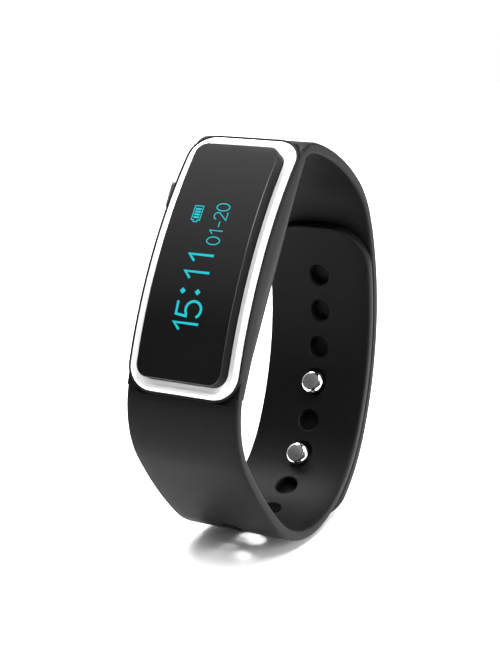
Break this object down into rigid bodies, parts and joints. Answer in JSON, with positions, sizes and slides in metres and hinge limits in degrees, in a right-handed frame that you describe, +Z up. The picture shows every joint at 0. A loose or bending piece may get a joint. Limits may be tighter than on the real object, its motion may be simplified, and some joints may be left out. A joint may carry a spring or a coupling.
{
  "type": "fitness tracker band",
  "caption": "Wrist band with a curved oblong display module, side button, and an overlapping perforated strap closed behind the wrist by metal studs.",
  "frame": {"origin": "centre of the opening that the wrist goes through, halfway across the band", "axes": "+X along the wrist, away from the side button; +Z up; the display faces -Y and leans back"},
  "size_m": [0.0216, 0.0561, 0.0702],
  "materials": {
    "bezel": "polished plated",
    "lens": "clear hard-coated, smoke tinted",
    "case": "fine moulded texture",
    "cover": "satin moulded",
    "seal": "soft silicone",
    "screws": "plain steel",
    "contacts": "gold plated",
    "panel": "dark display glass",
    "foam": "closed cell foam tape",
    "flex": "polyimide film",
    "board": "solder mask",
    "chips": "epoxy package",
    "ceramic": "fired ceramic",
    "motor": "drawn steel can",
    "cell": "foil pouch",
    "wire": "insulated wire",
    "button": "satin",
    "strap": "soft matte elastomer",
    "clasp": "brushed",
    "studs": "polished flanks, brushed faces"
  },
  "bodies": {
    "root": {"bezel": "bezel", "lens": "lens", "core_case": "case", "back_cover": "cover", "cover_gasket": "seal", "cover_screws": "screws", "charge_contacts": "contacts", "contact_springs": "contacts", "display_panel": "panel", "display_tape": "foam", "display_flex": "flex", "main_board": "board", "radio_chip": "chips", "motion_sensor": "chips", "board_components": "ceramic", "antenna": "ceramic", "vibration_motor": "motor", "tact_switch": "chips", "battery": "cell", "battery_leads": "wire", "band_collar": "strap", "upper_strap": "strap", "lower_strap": "strap"},
    "button": {"side_button": "button"},
    "tail": {"strap_tail": "strap", "clasp_plate": "clasp", "clasp_studs": "studs"}
  },
  "joints": [
    {"name": "button_press", "type": "slide", "parent": "root", "child": "button", "axis": [1, 0, 0], "range_m": [0, 0.0003], "stiffness_N_per_m": 3000},
    {"name": "strap_open", "type": "hinge", "parent": "root", "child": "tail", "pos_m": [0, 0.02637, -0.00215], "axis": [1, 0, 0], "range_deg": [0, 50], "stiffness_Nm_per_rad": 0.05}
  ]
}
